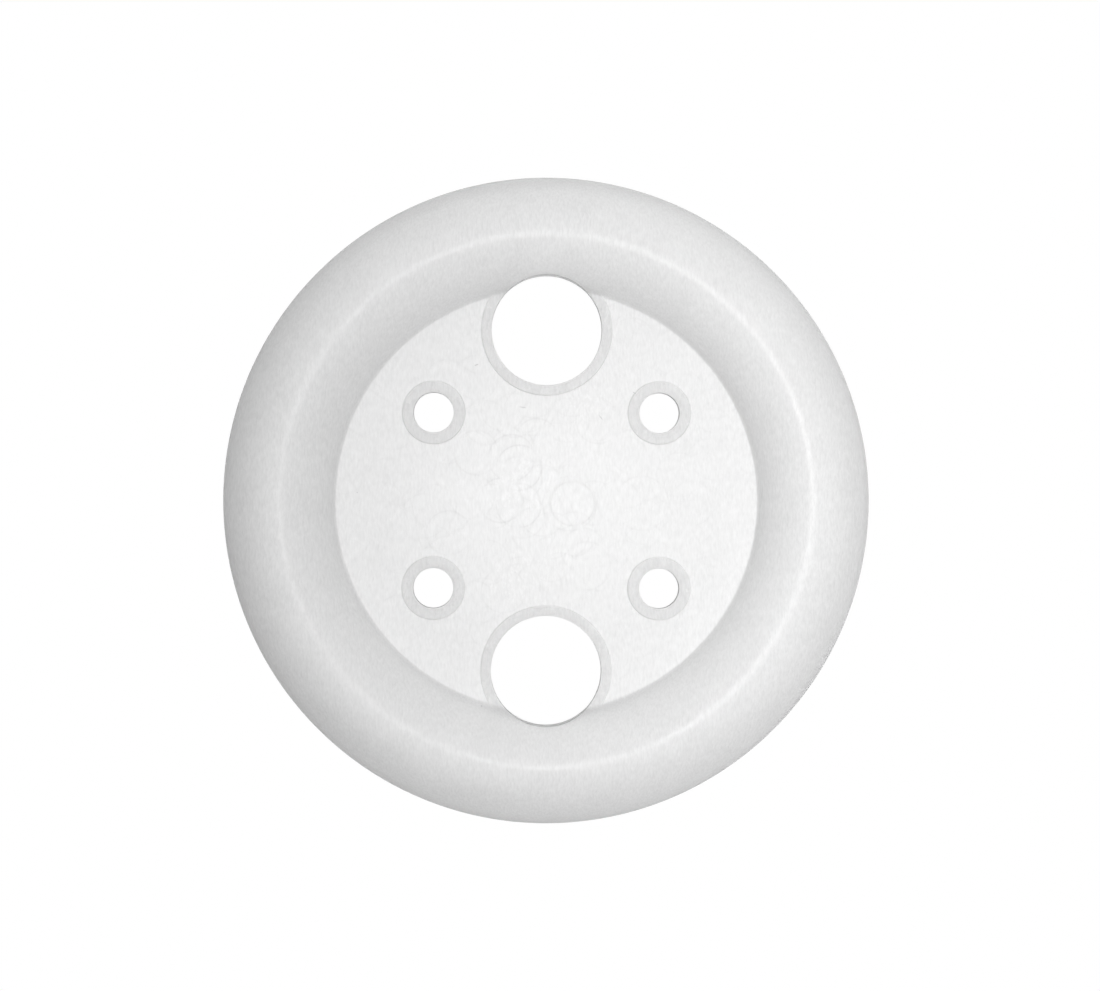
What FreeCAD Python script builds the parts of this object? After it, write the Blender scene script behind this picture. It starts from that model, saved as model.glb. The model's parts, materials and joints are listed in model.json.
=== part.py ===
import FreeCAD, Part
import math
import os

# A one-piece moulded disc: a thick rounded rim round a thin flat web, two large finger holes, four small
# fixing holes, and a low raised land round each hole. Both sides are alike.
# Millimetres. The disc's axis is +Z and the line through the two large holes is Y. The origin is on the axis,
# in the plane that the disc rests on when it lies on its rim.

# --- driving dimensions ---
DISC_DIAMETER = 129.0
RIM_THICKNESS = 16.4        # the rim's height, crest to crest
RIM_CREST_DIAMETER = 108.6  # the circle along the top of the rim, nearer its outside than its inside
WEB_DIAMETER = 84.5         # where the web's flat faces would meet the rim's inner wall
WEB_THICKNESS = 4.2
WEB_CORNER_RADIUS = 0.6     # the inside corner between web and rim

LARGE_HOLE_DIAMETER = 22.0
LARGE_HOLE_SPACING = 68.0   # along Y
LARGE_LAND_DIAMETER = 26.0

SMALL_HOLE_DIAMETER = 8.0
SMALL_HOLE_SPACING_X = 45.0
SMALL_HOLE_SPACING_Y = 35.0
SMALL_LAND_DIAMETER = 12.5

LAND_HEIGHT = 0.3            # above the web, on each side
LAND_SHOULDER_RADIUS = 0.15  # the land's outer edge
HOLE_EDGE_RADIUS = 0.2       # both ends of every hole

# --- worked out from them ---
DISC_RADIUS = DISC_DIAMETER / 2
RIM_HALF_THICKNESS = RIM_THICKNESS / 2
WEB_HALF_THICKNESS = WEB_THICKNESS / 2
LAND_HALF_THICKNESS = WEB_HALF_THICKNESS + LAND_HEIGHT

# The rim's section is half of a narrow ellipse outside the crest and half of a wider one inside it. The first
# reaches the disc's outside, and the second passes through the web's edge.
RIM_CREST_RADIUS = RIM_CREST_DIAMETER / 2
WEB_EDGE_SHARE = math.sqrt(1 - (WEB_HALF_THICKNESS / RIM_HALF_THICKNESS) ** 2)
RIM_OUTER_WIDTH = DISC_RADIUS - RIM_CREST_RADIUS
RIM_INNER_WIDTH = (RIM_CREST_RADIUS - WEB_DIAMETER / 2) / WEB_EDGE_SHARE

AXIS = FreeCAD.Vector(0, 0, 1)
TOLERANCE = 0.01


def large_hole_centres():
    """The two finger holes, on the Y axis."""
    reach = LARGE_HOLE_SPACING / 2
    return [FreeCAD.Vector(0, side * reach, 0) for side in (-1, 1)]


def small_hole_centres():
    """The four fixing holes, on the corners of a rectangle."""
    x = SMALL_HOLE_SPACING_X / 2
    y = SMALL_HOLE_SPACING_Y / 2
    return [FreeCAD.Vector(i * x, j * y, 0) for i in (-1, 1) for j in (-1, 1)]


def upright_cylinder(radius, half_height, centre):
    """A cylinder along Z, centred on the web's middle plane."""
    start = centre - AXIS * half_height
    return Part.makeCylinder(radius, 2 * half_height, start, AXIS)


def is_circle(edge, radius, height):
    """True for a circular edge of this radius at this height above or below the middle plane."""
    if not isinstance(edge.Curve, Part.Circle):
        return False
    right_size = abs(edge.Curve.Radius - radius) < TOLERANCE
    right_height = abs(abs(edge.Curve.Center.z) - height) < TOLERANCE
    return right_size and right_height


def section():
    """Half of the disc's section, drawn with X outwards from the axis and Y along it."""
    centre = FreeCAD.Vector(RIM_CREST_RADIUS, 0, 0)
    wide = Part.Ellipse(centre, RIM_INNER_WIDTH, RIM_HALF_THICKNESS)
    narrow = Part.Ellipse(centre, RIM_OUTER_WIDTH, RIM_HALF_THICKNESS)
    crest = math.pi / 2
    web_edge = math.pi - math.asin(WEB_HALF_THICKNESS / RIM_HALF_THICKNESS)
    lower_inside = Part.ArcOfEllipse(wide, -web_edge, -crest)
    outside = Part.ArcOfEllipse(narrow, -crest, crest)
    upper_inside = Part.ArcOfEllipse(wide, crest, web_edge)
    axis_bottom = FreeCAD.Vector(0, -WEB_HALF_THICKNESS, 0)
    axis_top = FreeCAD.Vector(0, WEB_HALF_THICKNESS, 0)
    web_bottom = Part.LineSegment(axis_bottom, lower_inside.StartPoint)
    web_top = Part.LineSegment(upper_inside.EndPoint, axis_top)
    middle = Part.LineSegment(axis_top, axis_bottom)
    curves = (web_bottom, lower_inside, outside, upper_inside, web_top, middle)
    return Part.Wire([curve.toShape() for curve in curves])


def rim_and_web():
    """The rim with its web, turned round the axis, and the inside corners between them rounded."""
    face = Part.Face(section())
    face.rotate(FreeCAD.Vector(0, 0, 0), FreeCAD.Vector(1, 0, 0), 90)
    body = face.revolve(FreeCAD.Vector(0, 0, 0), AXIS, 360)
    corners = [e for e in body.Edges if is_circle(e, WEB_DIAMETER / 2, WEB_HALF_THICKNESS)]
    return body.makeFillet(WEB_CORNER_RADIUS, corners)


def land(diameter, centre):
    """The raised land round one hole, on both sides of the web, with rounded shoulders."""
    disc = upright_cylinder(diameter / 2, LAND_HALF_THICKNESS, centre)
    shoulders = [e for e in disc.Edges if is_circle(e, diameter / 2, LAND_HALF_THICKNESS)]
    return disc.makeFillet(LAND_SHOULDER_RADIUS, shoulders)


def hole_edges(body, diameter):
    """The edges at the two ends of every hole of this diameter, wherever it leaves the body."""
    walls = [f for f in body.Faces if isinstance(f.Surface, Part.Cylinder)]
    walls = [f for f in walls if abs(f.Surface.Radius - diameter / 2) < TOLERANCE]
    return [e for f in walls for e in f.Edges if not isinstance(e.Curve, Part.Line)]


def disc():
    """The whole moulding, resting on its rim."""
    lands = [land(LARGE_LAND_DIAMETER, c) for c in large_hole_centres()]
    lands += [land(SMALL_LAND_DIAMETER, c) for c in small_hole_centres()]
    body = rim_and_web().fuse(lands)
    cutters = [upright_cylinder(LARGE_HOLE_DIAMETER / 2, RIM_THICKNESS, c) for c in large_hole_centres()]
    cutters += [upright_cylinder(SMALL_HOLE_DIAMETER / 2, RIM_THICKNESS, c) for c in small_hole_centres()]
    body = body.cut(cutters)
    edges = hole_edges(body, LARGE_HOLE_DIAMETER) + hole_edges(body, SMALL_HOLE_DIAMETER)
    body = body.makeFillet(HOLE_EDGE_RADIUS, edges)
    body.translate(AXIS * RIM_HALF_THICKNESS)
    return body


def check(shape):
    """Stops the build if the disc isn't one closed solid of the stated size."""
    box = shape.BoundBox
    assert shape.isValid()
    assert len(shape.Solids) == 1
    assert abs(box.ZLength - RIM_THICKNESS) < TOLERANCE
    print("rim width inside and outside the crest", round(RIM_INNER_WIDTH, 3), round(RIM_OUTER_WIDTH, 3))
    print("size", round(box.XLength, 3), round(box.YLength, 3), round(box.ZLength, 3))
    print("volume cm3", round(shape.Volume / 1000, 2))


def main():
    os.makedirs("parts", exist_ok=True)
    shape = disc()
    check(shape)
    shape.Solids[0].exportStep("parts/disc.step")


main()
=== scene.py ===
import json
import math

import bpy
import numpy as np
from mathutils import Matrix, Vector
from mathutils.geometry import delaunay_2d_cdt


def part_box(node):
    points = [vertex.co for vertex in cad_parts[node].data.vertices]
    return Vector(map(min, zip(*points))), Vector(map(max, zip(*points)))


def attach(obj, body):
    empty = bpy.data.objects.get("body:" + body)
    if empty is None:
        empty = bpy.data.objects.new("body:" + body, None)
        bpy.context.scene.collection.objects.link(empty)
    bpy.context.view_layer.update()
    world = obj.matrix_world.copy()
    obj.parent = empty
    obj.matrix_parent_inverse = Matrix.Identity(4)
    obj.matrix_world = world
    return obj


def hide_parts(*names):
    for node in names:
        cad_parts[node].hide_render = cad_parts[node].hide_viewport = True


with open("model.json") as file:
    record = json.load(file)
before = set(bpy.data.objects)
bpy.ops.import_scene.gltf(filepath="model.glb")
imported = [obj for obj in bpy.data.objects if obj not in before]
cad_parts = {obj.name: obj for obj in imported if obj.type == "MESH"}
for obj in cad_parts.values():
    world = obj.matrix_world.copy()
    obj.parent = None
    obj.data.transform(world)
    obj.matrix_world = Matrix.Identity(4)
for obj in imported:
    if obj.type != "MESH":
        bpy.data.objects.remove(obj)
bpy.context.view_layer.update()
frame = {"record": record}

# --- sizes, in metres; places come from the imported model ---
MM = 0.001
MOUNTS = {m["name"]: m for m in frame["record"]["mounts"]}
DISC_LOW, DISC_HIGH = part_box("disc")
MIDDLE = (DISC_LOW.z + DISC_HIGH.z) / 2
DISC_RADIUS = min(DISC_HIGH.x, DISC_HIGH.y)
RIM_HALF_THICKNESS = (DISC_HIGH.z - DISC_LOW.z) / 2
WEB_HALF_THICKNESS = MOUNTS["web_top"]["pos_m"][2] - MIDDLE
WEB_RADIUS = 42.25 * MM
CREST_RADIUS = 54.3 * MM        # the circle along the top of the rim
CORNER_BLEND = 0.8 * MM         # how softly web, rim wall and lands run into each other
LAND_HEIGHT = 0.3 * MM
LARGE_LAND_WIDTH = 2.0 * MM
SMALL_LAND_WIDTH = 2.25 * MM
LAND_SHOULDER_RADIUS = 0.15 * MM
LAND_WALL_DRAFT = 0.08 * MM     # how far the land's steep side runs out at its foot
HOLE_EDGE_RADIUS = 0.18 * MM
PARTING_RIDGE_HEIGHT = 0.03 * MM
PARTING_RIDGE_WIDTH = 0.2 * MM
WAVE_HEIGHT = 0.02 * MM         # slight waviness of the thick moulding
WAVE_COUNT = 7
WAVE_SEED = 11
GATE_MARK = Vector((5.2, -0.6)) * MM
GATE_MARK_RADIUS = 4.4 * MM
GATE_MARK_DEPTH = 0.035 * MM
GATE_MARK_LINE = 0.22 * MM

# --- material, in millimetres and shares of 1 ---
# Painted light: the web's tone is raised and the lands' tone lowered, standing in for light let through
# the thin web and held back by the thick lands.
WEB_TONE_WITH_PAINTED_BACKLIGHT = 0.92
LAND_TONE_WITH_PAINTED_SHADE = 0.81
RIM_TONE = 0.88
# Painted light: the holes' walls are painted white, standing in for light from the bright floor below.
HOLE_WALL_PAINTED_LIGHT_TONE = 1.0
# How far each of these lightens or darkens the plastic.
MOTTLE_TONE = 0.015
GRAIN_TONE = 0.065
MARK_TONE = -0.075
# Painted light: the scuffed patches also carry painted sheen where the lamp's reflection lies on the web.
SCUFF_AND_SHEEN_TONE = 0.075
SPECK_TONE = -0.25
HAIR_TONE = -0.35
# The bumps' depths, and the sizes of the marks.
GRAIN_DEPTH = 0.008
MARK_DEPTH = 0.012
PRESSED_LINE_WIDTH = 0.6
PRESSED_BAND_WIDTH = 1.8
ARC_RADIUS = 4.4
ARC_LAYERS = 3
ARC_LAYER_SHIFT = 17.0
ARC_CELLS_PER_MM = 0.11
SPECK_CELLS_PER_MM = 0.16
HAIR_WIDTH = 0.18
# Each faint circle on the web: x, y, radius and how strongly it shows.
TOOL_MARKS = [
    (5.2, -0.6, 4.4, 1.0), (4.6, -0.6, 5.4, 0.5), (-14, 24.5, 4.4, 0.4), (-4, 18, 4.4, 0.6),
    (-14, 9.5, 4.4, 0.7), (-5.5, 6.5, 4.5, 1.0), (-7, 8.5, 4.6, 0.8), (-5.5, -1, 4.4, 0.8),
    (-9, 0, 4.4, 0.5), (-2, 12, 4.3, 0.6), (8, -13, 4.8, 0.5), (-8.5, -18, 4.4, 0.5),
    (-1.5, -17, 4.6, 0.6), (-19.5, -6.5, 4.4, 0.5), (19, -0.5, 5.4, 0.4), (29, -0.5, 4.4, 0.4),
    (33.5, 18, 4.4, 0.3), (17, 32, 4.4, 0.4), (4, 16, 4.4, 0.4), (1, -7, 4.6, 0.5),
]
# Each patch of pale scuffs and painted sheen on the web: x, y and how far it reaches.
SCUFF_AND_SHEEN_PATCHES = [(-6, 3, 11), (-6, -16, 9), (8, 20, 8)]
# Each hair: x, y, which way it lies in radians, and its length.
HAIRS = [(-4.8, 18.6, -0.1, 1.8), (10.8, 16.6, -0.9, 1.6), (17.5, 21.5, -0.6, 1.0), (-14, 27, 0.4, 1.2)]

# --- light ---
# Each panel of the tent: the way to it, how narrow it is, and how strong.
TENT_PANELS = [((0, 1, 0), 2, 1.04), ((0, -1, 0), 2, 0.19), ((0, 0, 1), 6, 1.5)]

# The rim's section is half of a narrow ellipse outside its crest and half of a wider one inside it.
WEB_EDGE_SHARE = math.sqrt(1 - (WEB_HALF_THICKNESS / RIM_HALF_THICKNESS) ** 2)
RIM_OUTER_WIDTH = DISC_RADIUS - PARTING_RIDGE_HEIGHT - CREST_RADIUS
RIM_INNER_WIDTH = (CREST_RADIUS - WEB_RADIUS) / WEB_EDGE_SHARE

# --- how fine the mesh is ---
ROUND_STEPS = 360
RIM_STEP = math.radians(2.5)
WEB_POINT_SPACING = 1.2 * MM
WEB_POINT_MARGIN = 0.9 * MM         # from the lands and from the gate mark
WALL_RING_SPACING = 0.15 * MM
WALL_RING_MARGIN = 0.45 * MM        # from the lands
HOLE_POINT_SPACING = 0.36 * MM
HOLE_WALL_LEVELS = 6
GATE_MARK_RING_SPACING = 0.11 * MM
RIDGE_ROW_SPACING = 0.06 * MM
OUTLINE_ANGLE = math.radians(117)   # where on the rim's section the web's mesh hands over to the rim's


def hole_list():
    """(x, y, radius, its land's outer radius) of each hole."""
    holes = []
    for name in ("finger_hole_front", "finger_hole_back"):
        mount = MOUNTS[name]
        radius = mount["dims"]["r_mm"] * MM
        x, y, _ = mount["pos_m"]
        holes.append((x, y, radius, radius + LARGE_LAND_WIDTH))
    dims = MOUNTS["fixing_holes"]["dims"]
    radius = dims["hole_r_mm"] * MM
    for i in (-1, 1):
        for j in (-1, 1):
            x = i * dims["spacing_x_mm"] * MM / 2
            y = j * dims["spacing_y_mm"] * MM / 2
            holes.append((x, y, radius, radius + SMALL_LAND_WIDTH))
    return holes


HOLES = hole_list()


# --- the surface: its height above the middle plane, as a function of place ---
def smooth_max(a, b, blend):
    """The larger of two heights, with the corner between them rounded."""
    share = np.maximum(blend - np.abs(a - b), 0) / blend
    return np.maximum(a, b) + share * share * blend / 4


def rim_height(radius):
    """Height of the rim's inner side, from the web's edge to the crest."""
    across = np.clip((CREST_RADIUS - radius) / RIM_INNER_WIDTH, 0, 1)
    return RIM_HALF_THICKNESS * np.sqrt(1 - across ** 2)


def land_height(distance, outer_radius):
    """Height above the web of the land round a hole: flat, with a rounded shoulder and a steep side."""
    shoulder = np.clip((distance - outer_radius + LAND_SHOULDER_RADIUS) / LAND_SHOULDER_RADIUS, 0, 1)
    top = LAND_HEIGHT - LAND_SHOULDER_RADIUS * (1 - np.sqrt(1 - shoulder ** 2))
    side = np.clip((distance - outer_radius) / LAND_WALL_DRAFT, 0, 1)
    return top * (1 - side)


def hole_edge_drop(distance, radius):
    """How far the rounded edge of a hole lies below the surface round it."""
    share = np.clip((radius + HOLE_EDGE_RADIUS - distance) / HOLE_EDGE_RADIUS, 0, 1)
    return HOLE_EDGE_RADIUS * (1 - np.sqrt(1 - share ** 2))


def gate_mark_drop(x, y):
    """The shallow ring that the gate leaves on the upper face."""
    distance = np.hypot(x - GATE_MARK.x, y - GATE_MARK.y)
    return GATE_MARK_DEPTH * np.exp(-((distance - GATE_MARK_RADIUS) / GATE_MARK_LINE) ** 2)


def waves(x, y, seed):
    """A sum of long gentle waves, between 0 and 1."""
    rng = np.random.default_rng(seed)
    total = np.zeros_like(x)
    for _ in range(WAVE_COUNT):
        turn, phase = rng.uniform(0, 2 * math.pi, 2)
        length = rng.uniform(14, 40) * MM
        along = x * math.cos(turn) + y * math.sin(turn)
        total += np.sin(2 * math.pi * along / length + phase)
    return total / (2 * WAVE_COUNT) + 0.5


def surface_height(x, y, side):
    """Height from the middle plane of the upper (side 1) or lower (side -1) face."""
    height = smooth_max(np.full_like(x, WEB_HALF_THICKNESS), rim_height(np.hypot(x, y)), CORNER_BLEND)
    for hole_x, hole_y, radius, outer_radius in HOLES:
        distance = np.hypot(x - hole_x, y - hole_y)
        land = WEB_HALF_THICKNESS + land_height(distance, outer_radius)
        near = distance < outer_radius + LAND_WALL_DRAFT / 2
        height = np.where(near, smooth_max(height, land, CORNER_BLEND / 4), height)
        height = height - hole_edge_drop(distance, radius)
    if side > 0:
        height = height - gate_mark_drop(x, y)
    return height - WAVE_HEIGHT * waves(x, y, WAVE_SEED + side)


# --- the mesh ---
def ring(x, y, radius, steps):
    """Points evenly round a circle."""
    angles = np.arange(steps) * 2 * math.pi / steps
    return np.column_stack([x + radius * np.cos(angles), y + radius * np.sin(angles)])


def clear_of_holes(points, margin):
    """Those of the points that lie outside every land by this margin."""
    keep = np.ones(len(points), bool)
    for x, y, _, outer_radius in HOLES:
        keep &= np.hypot(points[:, 0] - x, points[:, 1] - y) > outer_radius + margin
    return points[keep]


def hole_rings(x, y, radius, outer_radius):
    """Rings of points round a hole: its rounded edge, its land, and the land's shoulder and foot."""
    steps = max(72, round(2 * math.pi * radius / HOLE_POINT_SPACING))
    turns = np.linspace(0, math.pi / 2, 5)
    edge = radius + HOLE_EDGE_RADIUS * (1 - np.cos(turns))
    shoulder = outer_radius - LAND_SHOULDER_RADIUS * (1 - np.sin(turns))
    top = np.linspace(edge[-1], shoulder[0], 6)[1:-1]
    foot = outer_radius + LAND_WALL_DRAFT + np.array([0, 0.12, 0.3]) * MM
    return [ring(x, y, r, steps) for r in (*edge, *top, *shoulder, *foot)]


def web_points():
    """An even triangular grid over the flat web."""
    row_gap = WEB_POINT_SPACING * math.sqrt(3) / 2
    reach = WEB_RADIUS - 1.4 * MM
    rows = np.arange(-reach, reach, row_gap)
    points = []
    for n, y in enumerate(rows):
        start = -reach + (n % 2) * WEB_POINT_SPACING / 2
        points += [(x, y) for x in np.arange(start, reach, WEB_POINT_SPACING)]
    points = np.array(points)
    points = points[np.hypot(points[:, 0], points[:, 1]) < reach]
    from_mark = np.hypot(points[:, 0] - GATE_MARK.x, points[:, 1] - GATE_MARK.y)
    points = points[np.abs(from_mark - GATE_MARK_RADIUS) > WEB_POINT_MARGIN]
    return clear_of_holes(points, WEB_POINT_MARGIN)


def wall_rings():
    """Rings over the inside corner and up the rim's inner wall, as far as the rim's own mesh."""
    corner = np.arange(WEB_RADIUS - 1.0 * MM, WEB_RADIUS + 0.3 * MM, WALL_RING_SPACING)
    angles = np.arange(math.radians(162), OUTLINE_ANGLE + RIM_STEP / 2, -RIM_STEP)
    wall = CREST_RADIUS + RIM_INNER_WIDTH * np.cos(angles)
    return [ring(0, 0, r, ROUND_STEPS) for r in (*corner, *wall)]


def gate_mark_rings():
    """Close rings of points that carry the shallow mark of the gate."""
    radii = GATE_MARK_RADIUS + np.arange(-5, 6) * GATE_MARK_RING_SPACING
    return [ring(GATE_MARK.x, GATE_MARK.y, r, 90) for r in radii]


def plan():
    """The web, seen from above: (points, triangles, each hole's outline, the outer outline)."""
    groups, outlines = [], []
    start = 0
    for hole in HOLES:
        rings = hole_rings(*hole)
        outlines.append(np.arange(start, start + len(rings[0])))
        groups += rings
        start += sum(len(r) for r in rings)
    walls = [clear_of_holes(r, WALL_RING_MARGIN) for r in wall_rings()]
    inner = [web_points(), *walls, *gate_mark_rings()]
    groups += inner
    start += sum(len(g) for g in inner)
    outer_radius = CREST_RADIUS + RIM_INNER_WIDTH * math.cos(OUTLINE_ANGLE)
    groups.append(ring(0, 0, outer_radius, ROUND_STEPS))
    outer = np.arange(start, start + ROUND_STEPS)
    points = np.concatenate(groups)
    edges = [(int(a), int(b)) for o in (*outlines, outer) for a, b in zip(o, np.roll(o, -1))]
    made = delaunay_2d_cdt([Vector(p / MM) for p in points], edges, [], 0, 1e-6)
    new_points, triangles, sources = made[0], made[2], made[3]
    place = {old: new for new, olds in enumerate(sources) for old in olds}
    outlines = [[place[i] for i in o] for o in outlines]
    outer = [place[i] for i in outer]
    inside = [set(o) for o in outlines]
    triangles = [t for t in triangles if not any(s.issuperset(t) for s in inside)]
    return np.array(new_points) * MM, triangles, outlines, outer


def rim_section():
    """(radius, height) of the rim's rows from the upper outline round the outside to the lower one."""
    angles = np.linspace(OUTLINE_ANGLE, -OUTLINE_ANGLE, 2 * round(OUTLINE_ANGLE / RIM_STEP) + 1)[1:-1]
    ridge_angles = np.arcsin(np.arange(-5, 6) * RIDGE_ROW_SPACING / RIM_HALF_THICKNESS)
    angles = angles[np.abs(angles) > abs(ridge_angles[0]) + RIM_STEP / 4]
    angles = np.sort(np.concatenate([angles, ridge_angles]))[::-1]
    heights = RIM_HALF_THICKNESS * np.sin(angles)
    ridge = PARTING_RIDGE_HEIGHT * np.exp(-(heights / PARTING_RIDGE_WIDTH) ** 2)
    width = np.where(np.cos(angles) > 0, RIM_OUTER_WIDTH, RIM_INNER_WIDTH)
    return CREST_RADIUS + width * np.cos(angles) + ridge, heights


def strip(upper, lower):
    """Quads between two rings of vertex numbers."""
    return list(zip(upper, np.roll(upper, -1), np.roll(lower, -1), lower))


def disc_mesh():
    """Both faces from one plan, joined by the walls of the holes and by the rim's rows."""
    points, triangles, outlines, outer = plan()
    x, y = points.T
    top = surface_height(x, y, 1)
    bottom = -surface_height(x, y, -1)
    vertices = [np.column_stack([x, y, top]), np.column_stack([x, y, bottom])]
    count = len(points)
    faces = [tuple(t) for t in triangles]
    faces += [tuple(count + i for i in reversed(t)) for t in triangles]
    start = 2 * count
    for outline in outlines:
        upper = np.array(outline)
        for level in range(1, HOLE_WALL_LEVELS):
            share = level / HOLE_WALL_LEVELS
            height = top[outline] * (1 - share) + bottom[outline] * share
            vertices.append(np.column_stack([x[outline], y[outline], height]))
            lower = np.arange(start, start + len(outline))
            faces += strip(lower, upper)
            upper = lower
            start += len(outline)
        faces += strip(np.array(outline) + count, upper)
    upper = np.array(outer)
    for radius, height in zip(*rim_section()):
        row = ring(0, 0, radius, ROUND_STEPS)
        side = 1 if height > 0 else -1
        dip = WAVE_HEIGHT * waves(row[:, 0], row[:, 1], WAVE_SEED + side)
        dip = dip * abs(height) / RIM_HALF_THICKNESS
        vertices.append(np.column_stack([row, height - side * dip]))
        lower = np.arange(start, start + ROUND_STEPS)
        faces += strip(lower, upper)
        upper = lower
        start += ROUND_STEPS
    faces += strip(np.array(outer) + count, upper)
    mesh = bpy.data.meshes.new("moulded_disc")
    placed = np.concatenate(vertices) + np.array([0, 0, MIDDLE])
    mesh.from_pydata(placed.tolist(), [], [tuple(int(i) for i in f) for f in faces])
    mesh.validate()
    mesh.polygons.foreach_set("use_smooth", [True] * len(mesh.polygons))
    mesh.update()
    return mesh


# --- material ---
class Nodes:
    """A short way to write a node tree."""

    def __init__(self, tree):
        self.tree = tree
        tree.nodes.clear()

    def new(self, kind, inputs, **settings):
        """A node with these inputs, each a value or another node's output, and these settings."""
        node = self.tree.nodes.new(kind)
        for name, value in settings.items():
            setattr(node, name, value)
        for name, value in inputs.items():
            if isinstance(value, bpy.types.NodeSocket):
                self.tree.links.new(value, node.inputs[name])
            else:
                node.inputs[name].default_value = value
        return node

    def math(self, operation, first, second=0.0, third=0.0):
        inputs = {0: first, 1: second, 2: third}
        return self.new("ShaderNodeMath", inputs, operation=operation).outputs[0]

    def distance(self, place, point):
        inputs = {0: place, 1: point}
        return self.new("ShaderNodeVectorMath", inputs, operation="DISTANCE").outputs["Value"]

    def range(self, value, low, high, to_low, to_high, smooth=False):
        kind = "SMOOTHSTEP" if smooth else "LINEAR"
        inputs = {"Value": value, "From Min": low, "From Max": high, "To Min": to_low, "To Max": to_high}
        return self.new("ShaderNodeMapRange", inputs, interpolation_type=kind).outputs[0]

    def noise(self, place, scale, detail, roughness=0.5):
        inputs = {"Vector": place, "Scale": scale, "Detail": detail, "Roughness": roughness}
        return self.new("ShaderNodeTexNoise", inputs).outputs["Fac"]

    def stretched(self, place, scale):
        return self.new("ShaderNodeVectorMath", {0: place, 1: scale}, operation="MULTIPLY").outputs[0]


def ring_line(nodes, distance, radius, width):
    """1 on a circle of this radius, fading to 0 at half the width from it."""
    off = nodes.math("ABSOLUTE", nodes.math("SUBTRACT", distance, radius))
    return nodes.range(off, 0.0, width / 2, 1.0, 0.0, smooth=True)


def pressed_ring(nodes, distance, radius):
    """A fine dark line with a soft light band inside it: 1 on the line, below 0 on the band."""
    line = ring_line(nodes, distance, radius, PRESSED_LINE_WIDTH)
    band = ring_line(nodes, distance, radius - PRESSED_BAND_WIDTH / 2, PRESSED_BAND_WIDTH)
    return nodes.math("MULTIPLY_ADD", band, -0.4, line)


def scattered_arcs(nodes, flat, shift):
    """Arcs of circles round scattered points, cut off where two circles meet."""
    inputs = {0: flat, 1: (shift, shift / 3, 0)}
    moved = nodes.new("ShaderNodeVectorMath", inputs, operation="ADD").outputs[0]
    inputs = {"Vector": moved, "Scale": ARC_CELLS_PER_MM, "Randomness": 1.0}
    cells = nodes.new("ShaderNodeTexVoronoi", inputs, voronoi_dimensions="2D")
    distance = nodes.math("MULTIPLY", cells.outputs["Distance"], 1 / ARC_CELLS_PER_MM)
    return pressed_ring(nodes, distance, ARC_RADIUS)


def tool_marks(nodes, place, flat):
    """Faint overlapping circles where the mould's pins and cutter touched, thickest near the middle."""
    total = 0.0
    for x, y, radius, strength in TOOL_MARKS:
        mark = pressed_ring(nodes, nodes.distance(flat, (x, y, 0)), radius)
        total = nodes.math("MULTIPLY_ADD", mark, strength, total)
    arcs = 0.0
    for layer in range(ARC_LAYERS):
        arcs = nodes.math("ADD", scattered_arcs(nodes, flat, ARC_LAYER_SHIFT * layer), arcs)
    from_middle = nodes.distance(flat, (-4, 3, 0))
    thickness = nodes.range(from_middle, 8.0, 30.0, 0.5, 0.25, smooth=True)
    total = nodes.math("MULTIPLY_ADD", arcs, thickness, total)
    broken = nodes.range(nodes.noise(place, 0.2, 1.0), 0.38, 0.60, 0.2, 1.0, smooth=True)
    return nodes.math("MULTIPLY", total, broken)


def hole_covers(nodes, place, flat, web):
    """(1 on the lands, 1 on the holes' walls and half on the lands' steep sides).

    Absolute values fold the four quarters into one, so one small hole and one large hole are enough.
    """
    ragged = nodes.range(nodes.noise(place, 0.9, 2.0), 0.3, 0.7, -0.12, 0.12)
    folded = nodes.new("ShaderNodeVectorMath", {0: flat}, operation="ABSOLUTE").outputs[0]
    lands, walls = 0.0, 0.0
    small_hole, large_hole = HOLES[-1], HOLES[0]
    for x, y, radius, outer_radius in (small_hole, large_hole):
        distance = nodes.distance(folded, (abs(x) / MM, abs(y) / MM, 0))
        edge = outer_radius / MM
        uneven = nodes.math("ADD", distance, ragged)
        land = nodes.range(uneven, edge - 0.1, edge + 0.3, 1.0, 0.0, smooth=True)
        lands = nodes.math("MAXIMUM", nodes.math("MULTIPLY", land, web), lands)
        # Painted light: the holes' walls, and half of the lands' steep sides, are marked here to be
        # painted white, standing in for light from the bright floor and lightening away the shade at the
        # lands' feet.
        wall = nodes.range(distance, radius / MM + 0.1, radius / MM + 0.3, 1.0, 0.0)
        half_web = nodes.math("MULTIPLY", web, 0.5)
        side = nodes.math("MULTIPLY", ring_line(nodes, distance, edge, 0.5), half_web)
        walls = nodes.math("MAXIMUM", nodes.math("MAXIMUM", wall, side), walls)
    return lands, walls


def scuffs_and_sheen(nodes, place, flat):
    """Patches of fine pale streaks on the web, part scuffs and part painted sheen of the lamp's
    reflection: 0 to 1.
    """
    streaks = nodes.noise(nodes.stretched(place, (1.3, 0.8, 1.3)), 1.0, 4.0, 0.7)
    streaks = nodes.range(streaks, 0.5, 0.68, 0.0, 1.0, smooth=True)
    total = 0.15
    for x, y, reach in SCUFF_AND_SHEEN_PATCHES:
        patch = nodes.range(nodes.distance(flat, (x, y, 0)), 0.3 * reach, reach, 1.0, 0.0, smooth=True)
        total = nodes.math("MAXIMUM", patch, total)
    return nodes.math("MULTIPLY", streaks, total)


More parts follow.
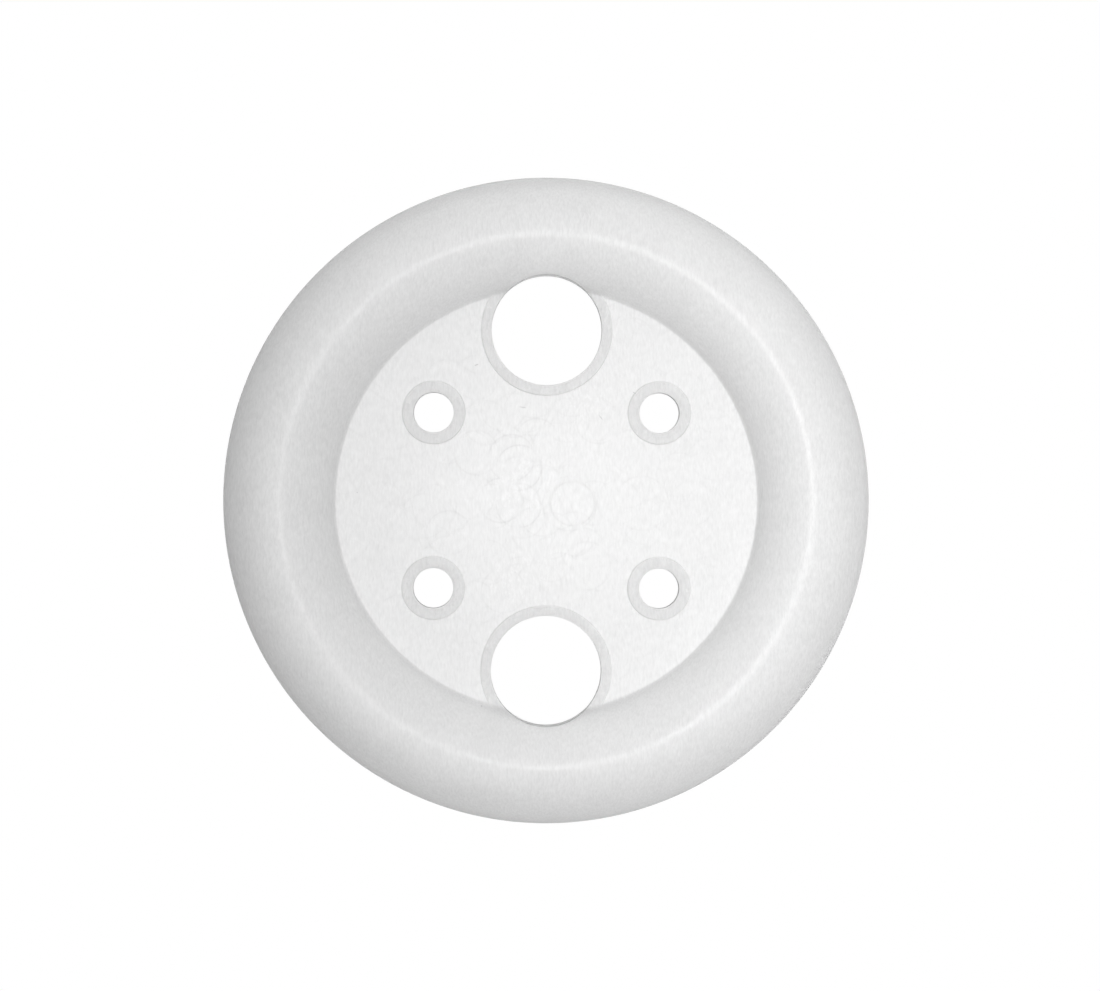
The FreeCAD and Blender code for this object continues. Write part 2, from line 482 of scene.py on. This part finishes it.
def hairs(nodes, flat):
    """A few short dark hairs caught in the plastic: 1 inside a hair."""
    total = 0.0
    for x, y, turn, length in HAIRS:
        size = (length / 2, HAIR_WIDTH / 2, 1)
        inputs = {"Vector": flat, "Location": (x, y, 0), "Rotation": (0, 0, turn), "Scale": size}
        local = nodes.new("ShaderNodeMapping", inputs, vector_type="TEXTURE").outputs[0]
        reach = nodes.new("ShaderNodeVectorMath", {0: local}, operation="LENGTH").outputs["Value"]
        total = nodes.math("MAXIMUM", nodes.range(reach, 0.4, 1.0, 1.0, 0.0, smooth=True), total)
    return total


def specks(nodes, flat):
    """Dark specks in the plastic, in three cells of every ten: 1 inside a speck."""
    inputs = {"Vector": flat, "Scale": SPECK_CELLS_PER_MM, "Randomness": 1.0}
    cells = nodes.new("ShaderNodeTexVoronoi", inputs)
    near = nodes.range(cells.outputs["Distance"], 0.012, 0.026, 1.0, 0.0, smooth=True)
    pick = nodes.new("ShaderNodeSeparateColor", {0: cells.outputs["Color"]}).outputs[0]
    return nodes.math("MULTIPLY", near, nodes.math("GREATER_THAN", pick, 0.7))


def milky_plastic():
    """Slightly translucent white plastic with a soft gloss, fine grain and faint marks from the mould."""
    material = bpy.data.materials.new("milky_plastic")
    material.use_nodes = True
    nodes = Nodes(material.node_tree)
    coordinates = nodes.new("ShaderNodeTexCoord", {}).outputs["Object"]
    place = nodes.stretched(coordinates, (1 / MM, 1 / MM, 1 / MM))
    flat = nodes.stretched(place, (1, 1, 0))

    web_radius = WEB_RADIUS / MM
    from_axis = nodes.distance(flat, (0, 0, 0))
    web = nodes.range(from_axis, web_radius - 0.2, web_radius + 0.5, 1.0, 0.0, smooth=True)
    lands, walls = hole_covers(nodes, place, flat, web)
    mottle = nodes.noise(place, 0.16, 4.0, 0.6)
    grain = nodes.noise(nodes.stretched(place, (2.6, 0.7, 2.6)), 1.0, 3.0, 0.65)
    marks = nodes.math("MULTIPLY", tool_marks(nodes, place, flat), web)

    # Painted light: the thin web is painted whiter than the rim and the thick lands darker, standing in
    # for the back light that the thin web lets through and the thick plastic holds back.
    tone = nodes.math("MULTIPLY_ADD", web, WEB_TONE_WITH_PAINTED_BACKLIGHT - RIM_TONE, RIM_TONE)
    tone = nodes.math("MULTIPLY_ADD", lands, LAND_TONE_WITH_PAINTED_SHADE - WEB_TONE_WITH_PAINTED_BACKLIGHT, tone)
    tone = nodes.math("ADD", tone, nodes.range(mottle, 0.3, 0.7, -MOTTLE_TONE, MOTTLE_TONE))
    tone = nodes.math("ADD", tone, nodes.range(grain, 0.25, 0.75, -GRAIN_TONE, GRAIN_TONE))
    tone = nodes.math("MULTIPLY_ADD", marks, MARK_TONE, tone)
    # Painted light: pale streaks, part scuffs and part painted sheen of the lamp's reflection on the web.
    streaks = nodes.math("MULTIPLY", scuffs_and_sheen(nodes, place, flat), web)
    tone = nodes.math("MULTIPLY_ADD", streaks, SCUFF_AND_SHEEN_TONE, tone)
    tone = nodes.math("MULTIPLY_ADD", specks(nodes, flat), SPECK_TONE, tone)
    tone = nodes.math("MULTIPLY_ADD", hairs(nodes, flat), HAIR_TONE, tone)
    # Painted light: the holes' walls and the lands' steep sides are painted white, standing in for light
    # from below and lightening away the shade at the lands' feet.
    tone = nodes.new("ShaderNodeMix", {0: walls, 2: tone, 3: HOLE_WALL_PAINTED_LIGHT_TONE}).outputs[0]
    colour = nodes.new("ShaderNodeCombineColor", {0: tone, 1: tone, 2: tone}).outputs[0]

    roughness = nodes.range(mottle, 0.3, 0.7, 0.17, 0.24)
    roughness = nodes.math("MULTIPLY_ADD", lands, 0.06, roughness)
    fine = nodes.new("ShaderNodeBump", {"Height": grain, "Distance": GRAIN_DEPTH * MM, "Strength": 1.0})
    relief = nodes.new("ShaderNodeBump", {
        "Height": marks,
        "Distance": MARK_DEPTH * MM,
        "Strength": 1.0,
        "Normal": fine.outputs[0],
    })
    shader = nodes.new("ShaderNodeBsdfPrincipled", {
        "Base Color": colour,
        "Roughness": roughness,
        "IOR": 1.5,
        "Subsurface Weight": 0.5,
        "Subsurface Radius": (1.0, 1.0, 1.0),
        "Subsurface Scale": 2.0 * MM,
        "Normal": relief.outputs[0],
    })
    nodes.new("ShaderNodeOutputMaterial", {"Surface": shader.outputs[0]})
    return material


# --- stage ---
def seen_white(nodes, other_shader):
    """White where the camera looks at it, and this shader for all other light."""
    seen = nodes.new("ShaderNodeLightPath", {}).outputs["Is Camera Ray"]
    white = nodes.new("ShaderNodeEmission", {"Color": (1, 1, 1, 1), "Strength": 1.0})
    return nodes.new("ShaderNodeMixShader", {0: seen, 1: other_shader, 2: white.outputs[0]}).outputs[0]


def floor():
    """A wide pale floor that the disc lies on."""
    size = 4.0
    mesh = bpy.data.meshes.new("floor")
    corners = [(i * size, j * size, DISC_LOW.z) for i, j in ((-1, -1), (1, -1), (1, 1), (-1, 1))]
    mesh.from_pydata(corners, [], [(0, 1, 2, 3)])
    material = bpy.data.materials.new("white_floor")
    material.use_nodes = True
    nodes = Nodes(material.node_tree)
    pale = nodes.new("ShaderNodeBsdfDiffuse", {"Color": (0.8, 0.8, 0.8, 1)})
    nodes.new("ShaderNodeOutputMaterial", {"Surface": seen_white(nodes, pale.outputs[0])})
    mesh.materials.append(material)
    piece = bpy.data.objects.new("floor", mesh)
    bpy.context.scene.collection.objects.link(piece)


def tent():
    """A soft white tent of three glowing panels that fade into each other."""
    world = bpy.data.worlds.new("tent")
    bpy.context.scene.world = world
    world.use_nodes = True
    nodes = Nodes(world.node_tree)
    direction = nodes.new("ShaderNodeTexCoord", {}).outputs["Generated"]
    total = 0.0
    for towards, spread, strength in TENT_PANELS:
        inputs = {0: direction, 1: Vector(towards).normalized()}
        facing = nodes.new("ShaderNodeVectorMath", inputs, operation="DOT_PRODUCT").outputs["Value"]
        panel = nodes.math("POWER", nodes.math("MAXIMUM", facing, 0.0), spread)
        total = nodes.math("MULTIPLY_ADD", panel, strength, total)
    background = nodes.new("ShaderNodeBackground", {"Color": (1, 1, 1, 1), "Strength": total})
    nodes.new("ShaderNodeOutputWorld", {"Surface": seen_white(nodes, background.outputs[0])})


def place_light(light, place, aim, mirrored):
    """Puts a light in the scene. One that isn't mirrored leaves no highlight on glossy surfaces."""
    made = bpy.data.objects.new(light.name, light)
    made.visible_glossy = mirrored
    made.location = place
    made.rotation_euler = (Vector(aim) - Vector(place)).to_track_quat("-Z", "Y").to_euler()
    bpy.context.scene.collection.objects.link(made)


def softbox(name, place, power):
    """A round soft lamp aimed at the disc's middle."""
    light = bpy.data.lights.new(name, "AREA")
    light.shape = "DISK"
    light.size = 0.2
    light.energy = power
    place_light(light, place, (0, 0, MIDDLE), mirrored=False)


def spot(name, place, aim, radius, angle, power, mirrored):
    """A soft-edged lamp. One aimed past the disc's right side gives the left side less light."""
    light = bpy.data.lights.new(name, "SPOT")
    light.shadow_soft_size = radius
    light.spot_size = math.radians(angle)
    light.spot_blend = 1.0
    light.energy = power
    place_light(light, place, aim, mirrored)


def camera():
    """Looks down on the disc's face, leaning a little to the left."""
    distance = 1000 * MM
    seen_width = 219.8 * MM          # at the web
    lean = math.radians(0.7)
    roll = math.radians(0.15)
    aim = Vector((0.75 * MM, 1.0 * MM, MIDDLE))    # the disc sits a little off the picture's middle
    data = bpy.data.cameras.new("camera")
    data.sensor_width = 36
    data.lens = data.sensor_width * distance / seen_width
    made = bpy.data.objects.new("camera", data)
    made.location = aim + distance * Vector((-math.sin(lean), 0, math.cos(lean)))
    made.rotation_euler = (Matrix.Rotation(-lean, 4, "Y") @ Matrix.Rotation(roll, 4, "Z")).to_euler()
    bpy.context.scene.collection.objects.link(made)
    bpy.context.scene.camera = made


def build_disc():
    """The moulded disc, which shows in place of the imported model's."""
    piece = bpy.data.objects.new("moulded_disc", disc_mesh())
    bpy.context.scene.collection.objects.link(piece)
    piece.data.materials.append(milky_plastic())
    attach(piece, "root")
    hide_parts("disc")


bpy.context.scene.view_settings.view_transform = "Standard"
camera()
floor()
tent()
spot("lens_spot", (0, 0, 0.62), (0.07, 0.02, 0), 0.02, 34, 0.3, mirrored=True)
spot("key_spot", (0.06, 0.02, 0.62), (0.09, 0.03, 0), 0.05, 34, 3.65, mirrored=False)
softbox("front_right_softbox", (0.22, -0.22, 0.45), 0.325)
softbox("front_softbox", (0, -0.35, 0.45), 0.285)
build_disc()
